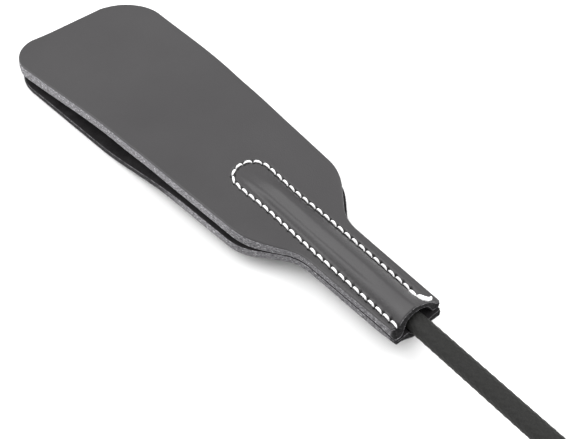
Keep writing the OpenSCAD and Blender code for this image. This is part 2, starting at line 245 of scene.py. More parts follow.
def upper_surface(s, y):
    """Top of the upper leaf before the thread pulls it in."""
    top = seam_z + neck_thickness + arch(s) + tip_swelling(s, y) + upper_splay * splay(s, y)
    radius = (5.45 + 0.95 * mouth_flare(s)) * mm - 0.5 * mm * ease(s, 15 * mm, 60 * mm)
    crest = axis_z + np.sqrt(np.clip(radius**2 - widened(s, y) ** 2, 0, None))
    rise = soft_max(top, crest, 0.45 * mm) - top
    ridge = ridge_height * np.exp(-((np.abs(y - 0.1 * mm) / (1.3 * mm)) ** 1.7))
    crease_side = np.where(y < crease_y, 0.7 * mm, 2.6 * mm)
    crease = crease_depth * np.exp(-(((y - crease_y) / crease_side) ** 2)) * ease(s, 8 * mm, 24 * mm)
    # The hump dies out towards the seam's end
    return top + (rise + ridge - crease) * (1 - ease(s, 60 * mm, 82 * mm)) + margin_puff(s, y)


def upper_faces(s, y):
    """Heights of the upper leaf's top and underside."""
    flare = mouth_flare(s)
    hollow = tunnel(s, widened(s, y), 5.2 * mm, seam_z - axis_z, (3.05 + 1.65 * flare) * mm)
    flat_under = seam_z + arch(s) + upper_splay * splay(s, y) - 1.3 * mm * swelling(s, y)
    under = flat_under + hollow - left_corner_dip(s, y)
    wall = (2.0 - 0.4 * flare - 1.6 * ease(s, 44 * mm, 64 * mm)) * mm
    top = soft_max(upper_surface(s, y), under + wall * ease(hollow, 0, 2 * mm), 0.2 * mm)
    return top - seam_groove(s, y), under


def lower_faces(s, y):
    """Heights of the lower leaf's top and underside."""
    flare = mouth_flare(s)
    under = (seam_z - neck_thickness) * (1 - ease(s, 80 * mm, 128 * mm)) - lower_splay * splay(s, y)
    top = under + neck_thickness - 0.5 * mm * ease(s, 150 * mm, keeper_len) - left_corner_dip(s, y)
    under = under - 0.8 * mm * swelling(s, y) * (1 - ease(s, 82 * mm, 98 * mm))
    radius = 5.4 * mm - 3.4 * mm * ease(s, 48 * mm, 80 * mm)
    hump = axis_z - np.sqrt(np.clip(radius**2 - y**2, 0, None))
    under = np.where(s < 80 * mm, -soft_max(-under, -hump, 0.5 * mm), under)
    under = under + 0.9 * mm * flare * (1 - ease(y, -7 * mm, -4 * mm))
    channel_radius = (3.05 + 0.3 * flare) * mm
    channel = np.sqrt(np.clip(channel_radius**2 - y**2, 0, None)) - (axis_z - seam_z)
    sag = 0.5 * mm * flare * np.exp(-(((np.abs(y) - 4.5 * mm) / (2 * mm)) ** 2)) * ease(y, -4 * mm, 0)
    top = top - (np.clip(channel, 0, None) + sag) * over_shaft(s)
    return top, np.maximum(under + seam_groove(s, y), 0)


# Where each leaf ends at the mouth, for its top and its underside: cut a little askew, the upper one bevelled
def upper_mouth(y):
    return (0.25 - 0.055 * y / mm) * mm, (-0.3 - 0.9 * (1 - ease(y, -7 * mm, -3.5 * mm))) * mm


def lower_mouth(y):
    return (-1.25 + 0.015 * y / mm) * mm, (-1.5 + 0.015 * y / mm) * mm


def new_object(name, data):
    thing = bpy.data.objects.new(name, data)
    bpy.context.scene.collection.objects.link(thing)
    return thing


def mesh_object(name, vertices, faces, smooth=True):
    mesh = bpy.data.meshes.new(name)
    mesh.from_pydata([tuple(v) for v in vertices], [], faces)
    mesh.polygons.foreach_set("use_smooth", [smooth] * len(mesh.polygons))
    return new_object(name, mesh)


def face_outward(piece, merge=0.0):
    """Turns all faces outward, after merging points closer than the given distance."""
    shell = bmesh.new()
    shell.from_mesh(piece.data)
    if merge:
        bmesh.ops.remove_doubles(shell, verts=shell.verts, dist=merge)
    bmesh.ops.recalc_face_normals(shell, faces=shell.faces)
    shell.to_mesh(piece.data)
    shell.free()


def distance_along(points):
    """Distance of each point of a path from its first one."""
    return np.concatenate([[0], np.cumsum(np.linalg.norm(np.diff(points, axis=0), axis=1))])


# How dark the cut edge is painted: painted shade on the end faces at the mouth, which face away from the
# light, and darker along the neck
mouth_painted_shade = 0.93
neck_darkening = 0.3


def build_leaf(name, faces_of, outline, mouth_line, rounds, flesh_on_top, edge_painted_shade, seed):
    """A closed leaf: a top and an underside on one grid, joined by a rough cut edge."""
    random = np.random.default_rng(seed)
    tip_rows = keeper_len - right_tip_corner + right_tip_corner * np.sin(np.radians(np.arange(0, 90.1, 3)))
    rows = np.concatenate([np.array([0, 0.05, 0.16, 0.3, 0.5]) * mm, np.arange(0.8 * mm, 84 * mm, 0.3 * mm),
                           np.arange(84.5 * mm, tip_rows[0] - 0.5 * mm, 1.6 * mm), tip_rows])
    inner_half = 8 * mm
    inner = np.linspace(-1, 1, 65) * inner_half
    share = np.concatenate([np.linspace(0, 0.9, 16)[1:], [0.94, 0.965, 0.98, 0.992, 1.0]])
    # Small round corners where the neck ends at the mouth
    corner = 0.6 * mm
    to_mouth = corner - np.clip(rows, 0, corner)
    clipped = corner - np.sqrt(corner**2 - to_mouth**2)
    left = half_width(rows, outline[0], outline[2]) - clipped
    right = half_width(rows, outline[1], right_tip_corner) - clipped
    left_y = -inner_half - (left[:, None] - inner_half) * share
    right_y = inner_half + (right[:, None] - inner_half) * share
    y = np.concatenate([left_y[:, ::-1], np.broadcast_to(inner, (len(rows), len(inner))), right_y], axis=1)
    n_rows, n_cols = y.shape
    grid = np.arange(n_rows * n_cols).reshape(n_rows, n_cols)
    sides = []
    for mouth, side, way, edge_round in zip(mouth_line(y), (0, 1), (-1, 1), rounds):
        s = rows[:, None] + mouth * (1 - ease(rows[:, None], 0, 9 * mm))
        inside = edge_distance(s, y, mouth, outline)
        inside[:, [0, -1]] = 0
        inside[[0, -1], :] = 0
        z = faces_of(s, y)[side] + way * rounding(inside, edge_round)
        sides.append(np.stack([s, y, z], axis=2).reshape(-1, 3))
    top, under = sides
    # The cut edge: a few rings between the faces, rough as cut fibres are
    loop = np.concatenate([grid[0, :], grid[1:, -1], grid[-1, -2::-1], grid[-2:0:-1, 0]])
    along = top[np.roll(loop, -1), :2] - top[np.roll(loop, 1), :2]
    outward = np.column_stack([-along[:, 1], along[:, 0]]) / (np.linalg.norm(along, axis=1)[:, None] + 1e-12)
    if np.sum((top[loop, :2] - top[:, :2].mean(axis=0)) * outward) < 0:
        outward = -outward
    travelled = distance_along(top[loop, :2])
    rings = 8
    wall = []
    for ring in range(1, rings):
        part = ring / rings
        rough = (random.random(len(loop)) - 0.5) * 0.22 * mm + 0.12 * mm * math.sin(math.pi * part)
        between = top[loop] * (1 - part) + under[loop] * part
        wall.append(between + np.column_stack([outward * rough[:, None], 0 * rough]))
    points = np.vstack([top, under] + wall)
    count = n_rows * n_cols
    wall_ids = [2 * count + k * len(loop) + np.arange(len(loop)) for k in range(rings - 1)]
    ring_ids = [loop, *wall_ids, count + loop]
    quads = np.stack([grid[:-1, :-1], grid[:-1, 1:], grid[1:, 1:], grid[1:, :-1]], axis=-1).reshape(-1, 4)
    faces = quads.tolist() + (quads[:, ::-1] + count).tolist()
    for a, b in zip(ring_ids[:-1], ring_ids[1:]):
        faces += np.stack([a, b, np.roll(b, -1), np.roll(a, -1)], axis=1).tolist()
    leaf = mesh_object(name, np.column_stack([mouth_x - points[:, 0], points[:, 1], points[:, 2]]), faces)
    face_outward(leaf)
    # The faces are mapped by place, in metres, and the cut edge by distance round the leaf and height
    mesh = leaf.data
    on_edge = np.arange(len(mesh.polygons)) >= 2 * len(quads)
    # The inner faces, in the gap between the leaves, take the near-black material of painted shade
    on_shaded_flesh = (np.arange(len(mesh.polygons)) < len(quads)) == flesh_on_top
    mesh.polygons.foreach_set("material_index", np.where(on_edge, 1, np.where(on_shaded_flesh, 2, 0)))
    place = points[:, :2].copy()
    round_leaf = np.zeros((len(points), 2))
    for ids in ring_ids:
        round_leaf[ids] = np.column_stack([travelled, points[ids, 2]])
    corner_vertex = np.empty(len(mesh.loops), int)
    mesh.loops.foreach_get("vertex_index", corner_vertex)
    corner_on_edge = np.repeat(on_edge, 4)
    uv = mesh.uv_layers.new(name="leather")
    mapped = np.where(corner_on_edge[:, None], round_leaf[corner_vertex], place[corner_vertex])
    uv.data.foreach_set("uv", mapped.ravel())
    # Darkness painted into the colour: painted shade in the stitch holes, on the cut ends at the mouth and on
    # the lower leaf's cut edge under the upper leaf, and a darker cut edge along the neck
    s, y = points[:, 0], points[:, 1]
    # The lower leaf's cut edge towards the tip gets painted shade, as it lies under the upper leaf
    edge_darkness = edge_painted_shade * ease(s, 78 * mm, 100 * mm) + neck_darkening * (1 - ease(s, 56 * mm, 70 * mm))
    edge_darkness = np.maximum(edge_darkness, mouth_painted_shade * (1 - ease(s, 0.4 * mm, 1.4 * mm)))
    at_edge = np.zeros(len(points), bool)
    at_edge[np.concatenate(wall_ids)] = True
    dark = mesh.attributes.new("darkness", "FLOAT", "POINT")
    # The stitch holes are painted black: painted shade in the slits
    dark.data.foreach_set("value", np.where(at_edge, edge_darkness, np.clip(1.8 * stitch_hole(s, y), 0, 1)))
    return leaf


def new_material(name, roughness, metallic=0.0, specular=0.5):
    material = bpy.data.materials.new(name)
    material.use_nodes = True
    shader = material.node_tree.nodes["Principled BSDF"]
    shader.inputs["Roughness"].default_value = roughness
    shader.inputs["Metallic"].default_value = metallic
    shader.inputs["Specular IOR Level"].default_value = specular
    return material, material.node_tree, shader


def give(tree, socket, value):
    """Links an input to an output socket, or sets it to a plain value."""
    if isinstance(value, bpy.types.NodeSocket):
        tree.links.new(value, socket)
    else:
        socket.default_value = value


def add_node(tree, kind, **values):
    """A node with its properties and its inputs given by name."""
    node = tree.nodes.new(kind)
    for key, value in values.items():
        if hasattr(node, key):
            setattr(node, key, value)
        else:
            give(tree, node.inputs[key.replace("_", " ")], value)
    return node


def math_node(tree, operation, *values):
    """The result of a math node on numbers or output sockets."""
    node = add_node(tree, "ShaderNodeMath", operation=operation)
    for socket, value in zip(node.inputs, values):
        give(tree, socket, value)
    return node.outputs[0]


def colour_ramp(tree, factor, stops):
    ramp = add_node(tree, "ShaderNodeValToRGB", Fac=factor)
    elements = ramp.color_ramp.elements
    while len(elements) < len(stops):
        elements.new(0.5)
    for element, (place, colour) in zip(elements, stops):
        element.position = place
        element.color = (*colour, 1)
    return ramp.outputs["Color"]


def add_bump(tree, shader, height, strength, distance):
    bump = add_node(tree, "ShaderNodeBump", Height=height, Strength=strength, Distance=distance)
    tree.links.new(bump.outputs["Normal"], shader.inputs["Normal"])


def place_on(tree, uv_map=None, stretch=None):
    """Places on the object or on its UV map, stretched if asked."""
    if uv_map:
        place = add_node(tree, "ShaderNodeUVMap", uv_map=uv_map).outputs["UV"]
    else:
        place = add_node(tree, "ShaderNodeTexCoord").outputs["Object"]
    if stretch:
        place = add_node(tree, "ShaderNodeMapping", Vector=place, Scale=stretch).outputs["Vector"]
    return place


def darken(tree, colour):
    """The colour, taken to black where the leaf's darkness is 1, which paints shade into it and darkens the
    neck's edge.
    """
    mix = add_node(tree, "ShaderNodeMix", data_type="RGBA")
    darkness = add_node(tree, "ShaderNodeAttribute", attribute_name="darkness")
    tree.links.new(darkness.outputs["Fac"], mix.inputs["Factor"])
    colour_a, colour_b = (socket for socket in mix.inputs if socket.type == "RGBA")
    tree.links.new(colour, colour_a)
    colour_b.default_value = (0.002, 0.002, 0.002, 1)
    return next(socket for socket in mix.outputs if socket.type == "RGBA")


def make_grain_group():
    """Leather grain: fine pores and creases for the height, and broad soft patches for the colour."""
    group = bpy.data.node_groups.new("leather_grain", "ShaderNodeTree")
    for name, kind in (("Vector", "Vector"), ("Pore Scale", "Float"), ("Patch Scale", "Float")):
        group.interface.new_socket(name=name, in_out="INPUT", socket_type="NodeSocket" + kind)
    for name in ("Height", "Patches"):
        group.interface.new_socket(name=name, in_out="OUTPUT", socket_type="NodeSocketFloat")
    given = group.nodes.new("NodeGroupInput").outputs
    place, pore_scale = given["Vector"], given["Pore Scale"]
    pores = add_node(group, "ShaderNodeTexVoronoi", feature="SMOOTH_F1", Vector=place, Scale=pore_scale)
    creases = add_node(
        group, "ShaderNodeTexNoise", Vector=place, Scale=pore_scale, Detail=5.0, Roughness=0.65)
    patches = add_node(
        group, "ShaderNodeTexNoise", Vector=place, Scale=given["Patch Scale"], Detail=3.0, Roughness=0.55)
    height = math_node(group, "MULTIPLY_ADD", pores.outputs["Distance"], 0.6, creases.outputs["Fac"])
    add_node(group, "NodeGroupOutput", Height=height, Patches=patches.outputs["Fac"])
    return group


grain_group = make_grain_group()


def leather_material(name, dark, light, pore_scale, patch_scale, relief, uv_map=None, **shading):
    material, tree, shader = new_material(name, **shading)
    grain = add_node(tree, "ShaderNodeGroup", node_tree=grain_group, Vector=place_on(tree, uv_map),
                     Pore_Scale=pore_scale, Patch_Scale=patch_scale)
    colour = colour_ramp(tree, grain.outputs["Patches"], [(0.3, dark), (0.7, light)])
    # On the keeper's leaves the darkness paints shade into the stitch holes
    if uv_map:
        colour = darken(tree, colour)
    tree.links.new(colour, shader.inputs["Base Color"])
    add_bump(tree, shader, grain.outputs["Height"], relief, 0.0003)
    return material


keeper_leather = leather_material(
    "keeper_leather", (0.030, 0.0285, 0.030), (0.034, 0.0325, 0.034), 2400.0, 40.0, 0.2, "leather",
    roughness=0.42, specular=0.42)
# The flesh side faces into the gap between the leaves and is painted near black: painted shade between the
# leaves
flesh_painted_shade = leather_material(
    "keeper_flesh_side", (0.012, 0.011, 0.012), (0.022, 0.021, 0.022), 1600.0, 200.0, 0.8, "leather",
    roughness=0.95, specular=0.1)


def cut_edge_material():
    """Grey torn fibres in thin layers that run round the leaf, with pale loose ends."""
    material, tree, shader = new_material("keeper_cut_edge", 0.95, specular=0.2)
    fibres = add_node(tree, "ShaderNodeTexNoise", Vector=place_on(tree, "leather", (900.0, 2400.0, 1.0)),
                      Scale=1.0, Detail=4.0, Roughness=0.75).outputs["Fac"]
    colour = colour_ramp(tree, fibres, [(0.33, (0.030, 0.029, 0.031)), (0.46, (0.15, 0.147, 0.155)),
                                        (0.60, (0.30, 0.295, 0.31)), (0.66, (0.9, 0.9, 0.92))])
    # The darkness paints shade on the cut edge at the mouth and under the upper leaf, and darkens it along
    # the neck
    tree.links.new(darken(tree, colour), shader.inputs["Base Color"])
    add_bump(tree, shader, fibres, 1.0, 0.0003)
    return material


cut_edge = cut_edge_material()
bend_start = (mouth_x - 84 * mm, 0, seam_z)
bend_end = (mouth_x - 114 * mm, 0, seam_z)
# The lower leaf's cut edge is painted darker towards the tip: painted shade under the upper leaf
for side, faces_of, outline, mouth_line, rounds, flesh_on_top, edge_painted_shade, seed in (
    ("upper", upper_faces, upper_outline, upper_mouth, (0.5 * mm, 0.3 * mm), False, 0.0, 11),
    ("lower", lower_faces, lower_outline, lower_mouth, (0.3 * mm, 0.5 * mm), True, 0.85, 12),
):
    leaf = build_leaf(f"{side}_leaf", faces_of, outline, mouth_line, rounds, flesh_on_top, edge_painted_shade, seed)
    for material in (keeper_leather, cut_edge, flesh_painted_shade):
        leaf.data.materials.append(material)
    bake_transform(leaf, "crop", f"{side}_flap", start=bend_start, end=bend_end)
    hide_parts(f"{side}_leaf_neck", f"{side}_leaf_flap")


# ---- Keeper thread
# Thick white waxed thread in one U-shaped row of stitches, which dive into a slit between each two.
# The row ends near the mouth in a thicker stitch and a short hooked tail that lies on the leather.
thread_radius = 0.41 * mm
thread_rise = 0.22 * mm
stitch_slant = math.radians(-5)


def white_thread_material():
    material, tree, shader = new_material("white_thread", 0.75)
    shader.inputs["Sheen Weight"].default_value = 0.2
    turned = add_node(tree, "ShaderNodeMapping", Vector=place_on(tree), Rotation=(0, 0, math.radians(38)))
    plies = add_node(tree, "ShaderNodeTexWave", Vector=turned.outputs["Vector"],
                     Scale=700.0, Distortion=1.5, Detail=2.0).outputs["Fac"]
    colour = colour_ramp(tree, plies, [(0.0, (0.82, 0.81, 0.82)), (0.6, (0.95, 0.95, 0.95))])
    tree.links.new(colour, shader.inputs["Base Color"])
    add_bump(tree, shader, plies, 0.5, 0.0001)
    return material


white_thread = white_thread_material()


def ring_faces(rings, sides, closed=False):
    """Faces between rings of points: the last ring meets the first, or both ends are capped."""
    faces = [
        (i * sides + j, i * sides + (j + 1) % sides, (i + 1) % rings * sides + (j + 1) % sides,
         (i + 1) % rings * sides + j)
        for i in range(rings if closed else rings - 1) for j in range(sides)
    ]
    if not closed:
        faces += [tuple(range(sides - 1, -1, -1)), tuple(range((rings - 1) * sides, rings * sides))]
    return faces


def thread_tube(name, path, radii, sides=14, plies=3, ply_depth=0.06, ply_lay=2.6 * mm):
    """A closed tube along a path, whose section shows twisted plies."""
    tangents = np.gradient(path, axis=0)
    tangents /= np.linalg.norm(tangents, axis=1)[:, None]
    up = np.array([0, 0, 1.0]) if abs(tangents[0][2]) < 0.9 else np.array([0, 1.0, 0])
    across = np.cross(up, tangents)
    across /= np.linalg.norm(across, axis=1)[:, None]
    above = np.cross(tangents, across)
    turn = np.linspace(0, 2 * math.pi, sides, endpoint=False)
    twisted = turn[None, :] - 2 * math.pi / ply_lay * distance_along(path)[:, None]
    r = radii[:, None] * (1 + ply_depth * np.cos(plies * twisted))
    points = path[:, None, :] + r[..., None] * (
        np.cos(turn)[None, :, None] * across[:, None, :] + np.sin(turn)[None, :, None] * above[:, None, :])
    return mesh_object(name, points.reshape(-1, 3), ring_faces(len(path), sides))


def single_stitch(name, length, radius):
    """One stitch along X over the leather: a plump grain whose ends go down into the slits."""
    t = np.linspace(-1, 1, 17)
    path = np.column_stack([t * length / 2, 0 * t, -2.2 * radius * np.abs(t) ** 3.5])
    return thread_tube(name, path, radius * (1 - 0.5 * np.abs(t) ** 2.2))


def start_geometry_tree(name, inputs):
    """A tree whose first input and only output is geometry, and its inputs by name."""
    tree = bpy.data.node_groups.new(name, "GeometryNodeTree")
    for label, kind in (("Geometry", "Geometry"), *inputs, ("Material", "Material")):
        tree.interface.new_socket(name=label, in_out="INPUT", socket_type="NodeSocket" + kind)
    tree.interface.new_socket(name="Geometry", in_out="OUTPUT", socket_type="NodeSocketGeometry")
    return tree, tree.nodes.new("NodeGroupInput").outputs


def finish_geometry_tree(tree, given, geometry):
    """Realizes the instances and sets the material, as every tree here ends."""
    realize = add_node(tree, "GeometryNodeRealizeInstances", Geometry=geometry)
    paint = add_node(
        tree, "GeometryNodeSetMaterial", Geometry=realize.outputs[0], Material=given["Material"])
    add_node(tree, "NodeGroupOutput", Geometry=paint.outputs[0])
    return tree


def make_stitch_tree():
    """Lays copies of one stitch along a line, each turned to the line and slanted a little."""
    tree, given = start_geometry_tree("stitches_along_line", [
        ("Count", "Int"), ("Slant", "Float"), ("Unevenness", "Float"), ("Stitch", "Object")])
    line = add_node(tree, "GeometryNodeMeshToCurve", Mesh=given["Geometry"])
    spaced = add_node(
        tree, "GeometryNodeResampleCurve", Curve=line.outputs["Curve"], Count=given["Count"])
    tangent = tree.nodes.new("GeometryNodeInputTangent")
    along = add_node(
        tree, "FunctionNodeAlignRotationToVector", axis="X", pivot_axis="Z", Vector=tangent.outputs[0])
    # Inputs 2 and 3 are the least and the most of a random number
    wobble = add_node(tree, "FunctionNodeRandomValue", data_type="FLOAT", Seed=5)
    give(tree, wobble.inputs[2], math_node(tree, "MULTIPLY", given["Unevenness"], -1))
    give(tree, wobble.inputs[3], given["Unevenness"])
    slant = math_node(tree, "ADD", given["Slant"], wobble.outputs[1])
    turn = add_node(tree, "ShaderNodeCombineXYZ", Z=slant)
    as_rotation = add_node(tree, "FunctionNodeEulerToRotation", Euler=turn.outputs[0])
    turned = add_node(tree, "FunctionNodeRotateRotation", rotation_space="LOCAL",
                      Rotation=along.outputs[0], Rotate_By=as_rotation.outputs[0])
    model = add_node(tree, "GeometryNodeObjectInfo", Object=given["Stitch"])
    copies = add_node(tree, "GeometryNodeInstanceOnPoints", Points=spaced.outputs["Curve"],
                      Instance=model.outputs["Geometry"], Rotation=turned.outputs[0])
    return finish_geometry_tree(tree, given, copies.outputs["Instances"])


stitch_tree = make_stitch_tree()


def line_object(name, points):
    mesh = bpy.data.meshes.new(name)
    mesh.from_pydata([tuple(p) for p in points], [(i, i + 1) for i in range(len(points) - 1)], [])
    return new_object(name, mesh)


def plain_result(source, name):
    """The evaluated mesh of an object with a modifier, as a new plain object; the source is removed."""
    bpy.context.view_layer.update()
    evaluated = source.evaluated_get(bpy.context.evaluated_depsgraph_get())
    mesh = bpy.data.meshes.new_from_object(evaluated)
    mesh.name = name
    bpy.data.objects.remove(source)
    mesh.polygons.foreach_set("use_smooth", [True] * len(mesh.polygons))
    return new_object(name, mesh)


def run_tree(source, tree, name, **values):
    """What a geometry tree, with its inputs given by name, makes of the source."""
    modifier = source.modifiers.new(tree.name, "NODES")
    modifier.node_group = tree
    for item in tree.interface.items_tree:
        label = item.name.replace(" ", "_")
        if item.in_out == "INPUT" and label in values:
            modifier[item.identifier] = values[label]
    return plain_result(source, name)


def sew(name, line_points, count, stitch_model, slant, unevenness=0.03):
    return run_tree(line_object(name + "_line", line_points), stitch_tree, name, Count=count, Slant=slant,
                    Unevenness=unevenness, Stitch=stitch_model, Material=white_thread)


def seam_line(height_at):
    """The seam from its first stitch at the mouth, round the arc and back to its last regular one."""
    arc = np.linspace(-math.pi / 2, math.pi / 2, 41)
    s = np.concatenate([np.linspace(seam_start_s, arc_s, 30)[:-1], arc_s + arc_row * np.cos(arc),
                        np.linspace(arc_s, seam_end_s, 30)[1:]])
    away = np.concatenate([-seam_half(s[:29]), arc_row * np.sin(arc), seam_half(s[-29:])])
    y = seam_middle(s) + away
    return np.column_stack([mouth_x - s, y, height_at(s, y)])


def thread_piece(name, points, radii):
    """A stretch of thread on the upper leaf through (s, y, height) points, rounded by a spline."""
    points = np.array(points, float) * mm
    padded = np.vstack([2 * points[0] - points[1], points, 2 * points[-1] - points[-2]])
    fine = []
    for i in range(1, len(padded) - 2):
        for t in np.linspace(0, 1, 9)[:-1]:
            p0, p1, p2, p3 = padded[i - 1:i + 3]
            fine.append(0.5 * (2 * p1 + (p2 - p0) * t + (2 * p0 - 5 * p1 + 4 * p2 - p3) * t**2
                               + (3 * p1 - p0 - 3 * p2 + p3) * t**3))
    s, y, height = np.array(fine + [points[-1]]).T
    path = np.column_stack([mouth_x - s, y, upper_surface(s, y) + height])
    radii = np.interp(np.linspace(0, 1, len(path)), np.linspace(0, 1, len(radii)), radii) * mm
    piece = thread_tube(name, path, radii)
    piece.data.materials.append(white_thread)
    return piece


def stand_in(piece, node, body="crop"):
    """Puts a piece on its body in the place of a CAD node, which is hidden."""
    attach(piece, body)
    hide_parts(node)


long_stitch = single_stitch("stitch_model", 0.82 * stitch_pitch, thread_radius)
top_line = seam_line(lambda s, y: upper_surface(s, y) + thread_rise)
top_thread = sew("keeper_top_stitches", top_line, stitch_count, long_stitch, stitch_slant)
# The underside's row is laid the same way, then turned over below the lower leaf
under_line = seam_line(lambda s, y: thread_rise - (lower_faces(s, y)[1] - seam_groove(s, y)))
under_thread = sew("keeper_under_stitches", under_line, stitch_count, long_stitch, stitch_slant)
under_thread.data.transform(Matrix.Scale(-1, 4, (0, 0, 1)))
under_thread.data.flip_normals()

# The far row's end, as distance from the mouth, across and height in mm, with the thread's radii
thick_stitch = thread_piece("last_thick_stitch", [
    (8.1, 5.45, -0.8), (7.75, 5.4, 0.1), (6.6, 5.2, 0.45), (5.55, 5.0, 0.1), (5.2, 4.95, -0.8)],
    (0.35, 0.52, 0.62, 0.5, 0.32))
tail = thread_piece("thread_tail", [
    (4.3, 4.9, -0.6), (3.9, 4.8, 0.1), (2.8, 4.55, 0.45), (1.6, 4.7, 0.5), (0.95, 5.3, 0.5), (0.95, 6.3, 0.5),
    (1.5, 7.5, 0.4), (1.95, 8.2, 0.35)], (0.4, 0.58, 0.74, 0.78, 0.74, 0.6, 0.52, 0.4))
for piece in (top_thread, thick_stitch, tail):
    stand_in(piece, "keeper_top_thread")
stand_in(under_thread, "keeper_under_thread")


# ---- Shaft
# A glass-fibre rod in a tight braid of fine black yarn, thicker towards the grip.
# The braid's strands cross over and under each other all the way along.
whip_low, whip_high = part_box("grip_whipping")
core_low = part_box("grip_core")[0]
sleeve_butt_radius = (sleeve_high.z - sleeve_low.z) / 2
sleeve_tip_radius = 3.0 * mm
strands_each_way = 12.0
lay_length = 38 * mm
yarn_relief = 0.16 * mm


def sleeve_radius(x):
    """Outer radius of the braid, which thickens towards the grip."""
    return np.interp(x, [mouth_x - 2 * mm, mouth_x + 3 * mm, core_low.x],
                     [sleeve_tip_radius, sleeve_tip_radius + 0.15 * mm, sleeve_butt_radius])


def make_braid_tree():
    """Raises crossing strands on a tube that lies along X: each goes over one and under the next."""
    tree, given = start_geometry_tree("braid_over_tube", [
        ("Strands Each Way", "Float"), ("Lay Length", "Float"), ("Relief", "Float"),
        ("Axis Height", "Float")])
    strands = given["Strands Each Way"]

    def calc(operation, *values):
        return math_node(tree, operation, *values)

    position = tree.nodes.new("GeometryNodeInputPosition")
    x, y, z = add_node(tree, "ShaderNodeSeparateXYZ", Vector=position.outputs[0]).outputs
    height = calc("SUBTRACT", z, given["Axis Height"])
    turn = calc("MULTIPLY", calc("ARCTAN2", y, height), strands)
    run = calc("MULTIPLY", calc("DIVIDE", x, given["Lay Length"]), calc("MULTIPLY", strands, 2 * math.pi))
    heights = []
    for sign, own, other in ((1, "ADD", "SUBTRACT"), (-1, "SUBTRACT", "ADD")):
        across = calc(own, turn, run)
        along = calc(other, turn, run)
        strand = calc("FLOOR", calc("DIVIDE", across, 2 * math.pi))
        middle = calc("COSINE", calc("ADD", across, math.pi))
        crown = calc("POWER", calc("ADD", calc("MULTIPLY", middle, 0.5), 0.5), 0.6)
        phase = calc("ADD", calc("MULTIPLY", strand, math.pi), calc("MULTIPLY", along, 0.5))
        wave = calc("MULTIPLY", calc("SINE", phase), 0.5 * sign)
        heights.append(calc("MULTIPLY", crown, calc("ADD", wave, 0.6)))
    lift = calc("MULTIPLY", calc("MAXIMUM", *heights), given["Relief"])
    outward = add_node(tree, "ShaderNodeCombineXYZ", Y=y, Z=height)
    unit = add_node(tree, "ShaderNodeVectorMath", operation="NORMALIZE", Vector=outward.outputs[0])
    offset = add_node(tree, "ShaderNodeVectorMath", operation="SCALE", Vector=unit.outputs[0], Scale=lift)
    moved = add_node(
        tree, "GeometryNodeSetPosition", Geometry=given["Geometry"], Offset=offset.outputs[0])
    return finish_geometry_tree(tree, given, moved.outputs[0])


def streaked_material(name, noise, stops, stretch=None, relief=0.0, roughness_stops=None, **shading):
    """A material coloured by noise, which may be stretched into streaks and raise the surface."""
    material, tree, shader = new_material(name, **shading)
    place = place_on(tree, stretch=stretch)
    streaks = add_node(tree, "ShaderNodeTexNoise", Vector=place, **noise).outputs["Fac"]
    tree.links.new(colour_ramp(tree, streaks, stops), shader.inputs["Base Color"])
    if roughness_stops:
        tree.links.new(colour_ramp(tree, streaks, roughness_stops), shader.inputs["Roughness"])
    if relief:
        add_bump(tree, shader, streaks, relief, 0.0001)
    return material


black_yarn = streaked_material(
    "black_yarn", {"Scale": 2600.0, "Detail": 4.0, "Roughness": 0.7},
    [(0.35, (0.006, 0.006, 0.0056)), (0.7, (0.016, 0.016, 0.015))], relief=0.4, roughness=0.62, specular=0.25)
braid_start = mouth_x - 14 * mm
braid_end = whip_low.x + 2 * mm
braid_rows = np.concatenate([
    np.linspace(sleeve_low.x, braid_start, 8)[:-1],
    np.arange(braid_start, braid_end, 0.30 * mm),
    np.linspace(braid_end, sleeve_high.x, 12),
])
# The sleeve's outline, out along its outside and back along the rod, is turned about the shaft's axis
sleeve_profile = [(x, sleeve_radius(x) - 0.08 * mm) for x in braid_rows]
sleeve_profile += [(x, np.interp(x, [mouth_x, core_low.x], [2.0 * mm, 2.7 * mm])) for x in
                   (sleeve_high.x, core_low.x, mouth_x, sleeve_low.x)]
sleeve_turn = np.linspace(0, 2 * math.pi, 84, endpoint=False)
sleeve_points = [(x, r * math.sin(a), axis_z + r * math.cos(a))
                 for x, r in sleeve_profile for a in sleeve_turn]
sleeve_tube = mesh_object(
    "sleeve_tube", sleeve_points, ring_faces(len(sleeve_profile), len(sleeve_turn), closed=True))
face_outward(sleeve_tube, 1e-7)
sleeve = run_tree(sleeve_tube, make_braid_tree(), "braided_sleeve", Strands_Each_Way=strands_each_way,
                  Lay_Length=lay_length, Relief=yarn_relief, Axis_Height=axis_z, Material=black_yarn)
stand_in(sleeve, "shaft_sleeve")


def finish_node(node, material):
    """Gives a CAD node that no piece replaces a material of its own."""
    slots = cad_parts[node].data.materials
    slots.clear()
    slots.append(material)


# The rod and the pieces at its end are closed inside the keeper and the grip
rod_fibre = streaked_material("rod_glassfibre", {"Scale": 900.0, "Detail": 3.0},
                              [(0.3, (0.62, 0.66, 0.56)), (0.7, (0.78, 0.80, 0.72))], roughness=0.35)
tip_plastic = leather_material(
    "tip_cap_plastic", (0.03, 0.03, 0.03), (0.05, 0.05, 0.05), 1500.0, 80.0, 0.1, roughness=0.5)
finish_node("shaft_rod", rod_fibre)
finish_node("rod_tip_cap", tip_plastic)
finish_node("sleeve_binding", white_thread)


